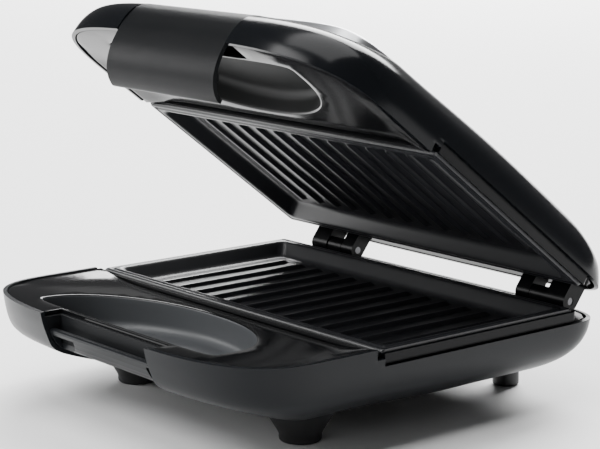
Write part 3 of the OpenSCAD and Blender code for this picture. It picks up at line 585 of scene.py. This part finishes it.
def deck(name, depth, body, node, place, flip):
    outer = deck_outline()
    e = 0.5
    # the outline moved in a little for the bevelled edge
    nx = np.roll(outer, -1, 0) - np.roll(outer, 1, 0)
    nr = np.stack([nx[:, 1], -nx[:, 0]], 1)
    nr /= np.linalg.norm(nr, axis=1, keepdims=True)
    inset = outer - nr * e
    hole = scoop(-1.3)
    pts = [Vector(p) for p in inset] + [Vector(p) for p in hole]
    n1, n2 = len(inset), len(hole)
    edges = [(i, (i + 1) % n1) for i in range(n1)] + [(n1 + i, n1 + (i + 1) % n2) for i in range(n2)]

    def inside(poly, x, y):
        r, j = False, len(poly) - 1
        for i in range(len(poly)):
            if (poly[i][1] > y) != (poly[j][1] > y) and x < (poly[j][0] - poly[i][0]) * (y - poly[i][1]) / (poly[j][1] - poly[i][1]) + poly[i][0]:
                r = not r
            j = i
        return r
    grown = scoop(-4.0)
    shrunk = outer - nr * 3.0
    for x in np.arange(-112, 113, 8):
        for y in np.arange(-146, -67, 5):
            if inside(shrunk, x, y) and not inside(grown, x, y):
                pts.append(Vector((x, y)))
    vs, es, fs, ov, oe, of = delaunay_2d_cdt(pts, edges, [], 0, 1e-5)
    V = [(p.x, p.y, float(deck_z(p.x, p.y))) for p in vs]
    F = []
    for f in fs:
        cx = sum(vs[i].x for i in f) / len(f)
        cy = sum(vs[i].y for i in f) / len(f)
        if inside(inset, cx, cy) and not inside(hole, cx, cy):
            p = [vs[i] for i in f]
            ar = sum(p[i].x * p[(i + 1) % len(p)].y - p[(i + 1) % len(p)].x * p[i].y for i in range(len(p)))
            F.append(tuple(f) if ar > 0 else tuple(reversed(f)))
    mats = [0] * len(F)
    parts = [(V, F)]
    # bevelled outer edge and the skirt under it
    prof = [(e, 0.0), (0.27 * e, -0.13 * e), (0.0, -0.5 * e), (0.0, -2.2), (0.9, -2.2)]
    W = []
    for o, dz in prof:
        q = outer - nr * o
        W.append(np.c_[q, deck_z(q[:, 0], q[:, 1]) + dz])
    w = np.vstack(W)
    G = []
    for k in range(len(prof) - 1):
        for i in range(n1):
            j = (i + 1) % n1
            G.append((k * n1 + j, k * n1 + i, (k + 1) * n1 + i, (k + 1) * n1 + j))
    parts.append((w, G))
    mats += [0] * len(G)
    # the bowl: rounded mouth, wall, rounded foot, floor
    fl = 53.2 - depth + 1.8
    rows = []
    for t in np.linspace(0, math.pi / 2, 6):
        rows.append((-1.3 + 1.3 * math.sin(t), -1.3 * (1 - math.cos(t)), None))
    for q in (0.25, 0.5, 0.75):
        rows.append((0.25 * q, None, q))
    rf = 5.0
    for t in np.linspace(0, math.pi / 2, 8):
        rows.append((0.3 + rf * (1 - math.cos(t)), None, ("f", rf * (1 - math.sin(t)))))
    for o in (9, 14, 20, 27, 34, 40, 44.6):
        rows.append((o, None, ("f", 0.0)))
    B = []
    for o, dz, q in rows:
        if o > 6:
            # shrink towards the middle of the floor, keeping the shape
            base = scoop(5.3)
            c = np.array([0.0, -112.0])
            k = 1 - (o - 5.3) / (44.6 - 5.3)
            p = c + (base - c) * max(k, 0.0)
        else:
            p = scoop(o)
        zt = deck_z(p[:, 0], p[:, 1])
        if dz is not None:
            z = zt + dz
        elif isinstance(q, tuple):
            z = np.full(len(p), fl + q[1])
        else:
            z = (zt - 1.3) * (1 - q) + (fl + rf) * q
        B.append(np.c_[p, z])
    nb = len(B[0])
    H = []
    for k in range(len(B) - 1):
        for i in range(nb):
            j = (i + 1) % nb
            H.append((k * nb + i, k * nb + j, (k + 1) * nb + j, (k + 1) * nb + i))
    parts.append((np.vstack(B), H))
    # the faces below the mouth take the bowl material; in the base bowl its lighter grey is painted light
    mats += [0 if k < 3 * nb else 1 for k in range(len(H))]
    v, F = merge(parts)
    return piece(name, v, F, place, "casing_gloss", body, [node], mats=["casing_gloss", "lid_bowl" if flip else "bowl"], fmat=mats, flip=flip, sharp=50, weld=True)


deck("base_front_deck", 21.5, "base", "base_deck", to_base, False)
deck("lid_front_deck", 17.0, "lid", "lid_deck", to_lid, True)


# ------------------------------------------------------------------ cooking plates
def plate(name, body, node, place, flip):
    xs = np.arange(-116, 116.01, 0.6)
    y1 = np.arange(0, 40, 5.0)
    y2 = np.arange(40, 64.01, 0.5)
    yp = np.r_[y1, y2]
    ys = np.r_[-yp[::-1], yp[1:]]
    X, Y = np.meshgrid(xs, ys, indexing="ij")

    def soft_min(a, b, r):
        h = np.clip(0.5 + 0.5 * (b - a) / r, 0, 1)
        return b * (1 - h) + a * h - r * h * (1 - h)
    edge = soft_min(116 - np.abs(X), 64 - np.abs(Y), 2.0)
    z = np.zeros_like(X)
    # rounded outer edge, bead, groove, inner bead
    z -= 1.3 * (1 - np.sqrt(np.clip(1 - (1 - np.clip(edge / 1.3, 0, 1)) ** 2, 0, 1)))
    z -= 0.8 * smoothstep(1.9, 2.4, edge) * (1 - smoothstep(3.4, 3.9, edge))
    q = soft_min(110.5 - np.abs(X), 58.5 - np.abs(Y), 5.0)
    t = np.clip(q / 6.0, -0.4, 1.6)
    # rounded at the mouth and at the floor
    wall = np.where(t < 0.12, 0.5 * np.clip(t + 0.12, 0, None) ** 2 / 0.24, t)
    wall = np.where(t > 0.75, 1 - 0.5 * np.clip(1.25 - t, 0, 0.5) ** 2 / 0.5, wall)
    z -= 8.0 * np.clip(wall, 0, 1)
    for i in range(-6, 7):
        d = np.abs(X - 15 * i)
        rib = 2.0 * (1 - smoothstep(0.7, 2.3, d))
        z += rib * (1 - smoothstep(42.5, 46.5, np.abs(Y)))
    z += 52.5
    g = np.stack([X, Y, z], 2)
    J, K = X.shape
    v = g.reshape(-1, 3)
    F = [(j * K + k, (j + 1) * K + k, (j + 1) * K + k + 1, j * K + k + 1) for j in range(J - 1) for k in range(K - 1)]
    # outer skirt
    rim = [(j, 0) for j in range(J)] + [(J - 1, k) for k in range(1, K)] + [(j, K - 1) for j in range(J - 2, -1, -1)] + [(0, k) for k in range(K - 2, 0, -1)]
    top = np.array([g[j, k] for j, k in rim])
    low = top.copy()
    low[:, 2] = 50.62
    n = len(rim)
    sv = np.vstack([top, low])
    sf = [((i + 1) % n, i, n + i, n + (i + 1) % n) for i in range(n)]
    v, F = merge([(v, F), (sv, sf)])
    return piece(name, v, F, place, "nonstick", body, [node], flip=flip, sharp=60)


plate("lower_plate", "base", "base_plate", to_base, False)
plate("upper_plate", "lid", "lid_plate", to_lid, True)

# ------------------------------------------------------------------ latch
OUT = [(-127.2, 80.6), (-131.6, 79.1), (-136.2, 77.4), (-142, 74.3), (-145.4, 70.7), (-147.2, 66.8), (-148.2, 62.4), (-148.8, 58),
       (-148.8, 53.6), (-148.2, 47), (-147, 42), (-145.2, 37.7), (-142.6, 33.9), (-139.2, 31), (-135.4, 29.4), (-133.6, 29.6)]
prof = catmull(OUT, 5)
xs = np.r_[-44.5, -43.8, np.linspace(-42, 42, 15), 43.8, 44.5]
grid = np.array([[(x, p[0], p[1]) for p in prof] for x in xs])
nrm = np.zeros_like(grid)
tp = np.gradient(prof, axis=0)
nv = np.stack([tp[:, 1], -tp[:, 0]], 1)
nv /= np.linalg.norm(nv, axis=1, keepdims=True)
if np.dot(nv[30], np.array([1.0, 0])) > 0:
    nv = -nv
nrm[:, :, 1:] = nv[None]
v, F, src = solid_sheet(grid, None, 2.2, False, nrm)
a, b, c, d = F[0]
if np.dot(np.cross(v[b] - v[a], v[c] - v[a]), nrm[0, 0]) < 0:
    F = [tuple(reversed(f)) for f in F]
lip = len(prof) - 9
piece("latch_cover", v, F, to_lid, "latch_grained", "latch", ["latch"], mats=["latch_grained", "latch_smooth"],
      fmat=[1 if (s[1] >= lip or s[2] == 1) else 0 for s in src], bevel=0.6, sharp=42)
lugs = []
piv = (-139.2, 67.0)
for s in (-1, 1):
    ring = [(piv[0] + 3.3 * math.cos(a), piv[1] + 3.3 * math.sin(a)) for a in np.linspace(-1.2, 2.2, 12)]
    lugs.append(prism_x(ring + [(-142.6, 70.2), (-145.2, 65.8), (-146.2, 59.5), (-141, 62)], s * 40 - 1.5, s * 40 + 1.5))
hook = [(-142.9, 38.2), (-144.4, 41), (-141.6, 40.8), (-139.9, 38.4), (-140.2, 36.2), (-141.8, 35.6)]
lugs.append(prism_x(hook, -42.4, -30.6))
lugs.append(prism_x(hook, 39.4, 42.8))
v, F = merge(lugs)
piece("latch_lugs", v, F, to_lid, "latch_grained", "latch", bevel=0.3, mats=["latch_smooth"])


# ------------------------------------------------------------------ feet
def foot_front(cx, cy):
    p = [(3.4, 0.05), (3.4, 0), (8.6, 0), (9.7, 0.25), (10.3, 0.9), (10.5, 1.9), (10.5, 3.4), (10.9, 4.6), (11.7, 6.1),
         (13.0, 8.3), (14.4, 10.6), (15.9, 13), (17.6, 15.6), (19.4, 18.2)]
    return lathe(p, cx, cy, 72)


def foot_rear(cx, cy):
    p = [(3.4, 0.05), (3.4, 0), (5.8, 0), (6.6, 0.3), (7.0, 1.0), (7.0, 20), (5, 22)]
    return lathe(p, cx, cy, 56)


v, F = merge([foot_front(-69, -75), foot_front(69, -75)])
piece("front_feet_turned", v, F, to_base, "rubber_black", "base", ["front_feet"])
v, F = merge([foot_rear(-62, 72), foot_rear(62, 72)])
piece("rear_feet_turned", v, F, to_base, "rubber_black", "base", ["rear_feet"])

# ------------------------------------------------------------------ top panel
PX, PF, PR = 74.0, -103.0, 60.0


def panel_z(x, y):
    yy = np.where(y < 0, 0.1 * (y / 103) ** 2, 4 * (y / 60) ** 2)
    return 96.9 - 3.1 * (x / PX) ** 4 - yy


def panel():
    n = 168
    a = np.linspace(0, 2 * math.pi, n, endpoint=False) + math.pi / n
    e = 2 / 7
    ux, uy = spow(np.cos(a), e), spow(np.sin(a), e)
    rows = []
    def ring(k, dz, inset=0.0):
        x = (PX * k - inset) * ux
        y = (PF + PR) / 2 + ((PR - PF) / 2 * k - inset) * uy
        return np.c_[x, y, panel_z(x, y) + dz]
    rows.append(np.c_[PX * ux, (PF + PR) / 2 + (PR - PF) / 2 * uy, np.full(n, 72.0)])
    r = 1.3
    for t in np.linspace(0, math.pi / 2, 6):
        rows.append(ring(1, -r * (1 - math.sin(t)), r * (1 - math.cos(t))))
    for k in (0.93, 0.84, 0.72, 0.58, 0.42, 0.26, 0.1, 0.0):
        rows.append(ring(k, 0, 0))
    v = np.vstack(rows)
    F = []
    for k in range(len(rows) - 1):
        for i in range(n):
            j = (i + 1) % n
            F.append((k * n + i, k * n + j, (k + 1) * n + j, (k + 1) * n + i))
    return v, F


v, F = panel()
piece("top_panel_skin", v, F, to_lid, "panel_steel", "lid", ["top_panel"], sharp=60)

# ------------------------------------------------------------------ CAD nodes keep their place, with rounded edges
slots = {s["node"]: s["material_slot"] for s in frame["record"]["subparts"]}
for node, ob in frame["nodes"].items():
    ob.data.materials.clear()
    ob.data.materials.append(M[slots[node]])
kp = frame["nodes"]["latch_keeper"].data
kp.materials.append(M["recess_painted_shade"])
# painted shade: the keeper's end faces and the faces behind and above its bar take the darker recess material
for f in kp.polygons:
    c = f.center
    if abs(c.x) > 0.0446 or (c.y - Y0 * 0.001 > -0.1375 and c.z > 0.0335):
        f.material_index = 1
for node, w in {"base_plate_carrier": 0.35, "lid_plate_carrier": 0.35, "latch_keeper": 0.4, "latch_housing": 0.3,
                "hinge_towers": 0.5, "hinge_ears": 0.6, "cord_gland": 0.4, "terminal_block": 0.3}.items():
    ob = frame["nodes"][node]
    b = ob.modifiers.new("bevel", "BEVEL")
    b.width = w * 0.001
    b.segments = 3
    b.limit_method = "ANGLE"
    b.angle_limit = math.radians(40)
    b.use_clamp_overlap = True

# ------------------------------------------------------------------ stage
S = 9.0
me = bpy.data.meshes.new("floor")
n = 24
sv, sf = [], []
for i in range(n + 1):
    for j in range(n + 1):
        sv.append((-S + 2 * S * i / n, -S + 2 * S * j / n, 0))
for i in range(n):
    for j in range(n):
        a = i * (n + 1) + j
        sf.append((a, a + n + 1, a + n + 2, a + 1))
me.from_pydata(sv, [], sf)
floor = bpy.data.objects.new("floor", me)
bpy.context.scene.collection.objects.link(floor)
me.materials.append(material("m_floor", (0.9, 0.9, 0.9), 0.7, 0.15, mottle=(200, 0.02)))

# ------------------------------------------------------------------ camera
az, el, roll = math.radians(50.64), math.radians(10.56), math.radians(-0.13)
back = Vector((math.sin(az) * math.cos(el), -math.cos(az) * math.cos(el), math.sin(el)))
right = Vector((math.cos(az), math.sin(az), 0))
up = back.cross(right)
right, up = right * math.cos(roll) + up * math.sin(roll), up * math.cos(roll) - right * math.sin(roll)
cam_data = bpy.data.cameras.new("camera")
cam = bpy.data.objects.new("camera", cam_data)
bpy.context.scene.collection.objects.link(cam)
loc = Vector((782.2, -656.2 + Y0, 286.9)) * 0.001
cam.matrix_world = Matrix(((right.x, up.x, back.x, loc.x), (right.y, up.y, back.y, loc.y), (right.z, up.z, back.z, loc.z), (0, 0, 0, 1)))
cam_data.sensor_width = 36
cam_data.sensor_fit = "HORIZONTAL"
cam_data.lens = 118.62
cam_data.shift_x = -0.0097
cam_data.shift_y = -0.0323
cam_data.clip_start = 0.05
cam_data.clip_end = 100
bpy.context.scene.camera = cam


# ------------------------------------------------------------------ light
def area(name, where, aim, size, power, size_y=None, color=(1, 1, 1)):
    ld = bpy.data.lights.new(name, "AREA")
    ld.shape = "RECTANGLE"
    ld.size = size
    ld.size_y = size_y or size
    ld.energy = power
    ld.color = color
    ob = bpy.data.objects.new(name, ld)
    bpy.context.scene.collection.objects.link(ob)
    ob.location = where
    d = Vector(aim) - Vector(where)
    ob.rotation_euler = d.to_track_quat("-Z", "Y").to_euler()
    return ob


area("floor_back", (-2.6, 3.5, 2.6), (-2.4, 2.6, 0.0), 4.0, 900, size_y=3.6)
area("overhead", (-0.1, 0.1, 2.3), (-0.1, 0.1, 0.0), 2.0, 74, size_y=2.2)
area("key_left", (-1.6, -1.15, 0.62), (0, 0, 0.06), 0.9, 15, size_y=0.6)
area("front_floor", (-0.75, -1.75, 1.9), (-0.45, -0.7, 0.0), 1.4, 58, size_y=1.2)
area("front_low", (0.5, -2.0, 0.75), (0, 0, 0.06), 1.3, 6, size_y=0.5)
area("back_card", (-3.2, 2.6, 0.28), (0, 0, 0.06), 3.0, 2, size_y=0.8)
w = bpy.data.worlds.new("world")
bpy.context.scene.world = w
w.use_nodes = True
w.node_tree.nodes["Background"].inputs["Color"].default_value = (1, 1, 1, 1)
w.node_tree.nodes["Background"].inputs["Strength"].default_value = 0.09
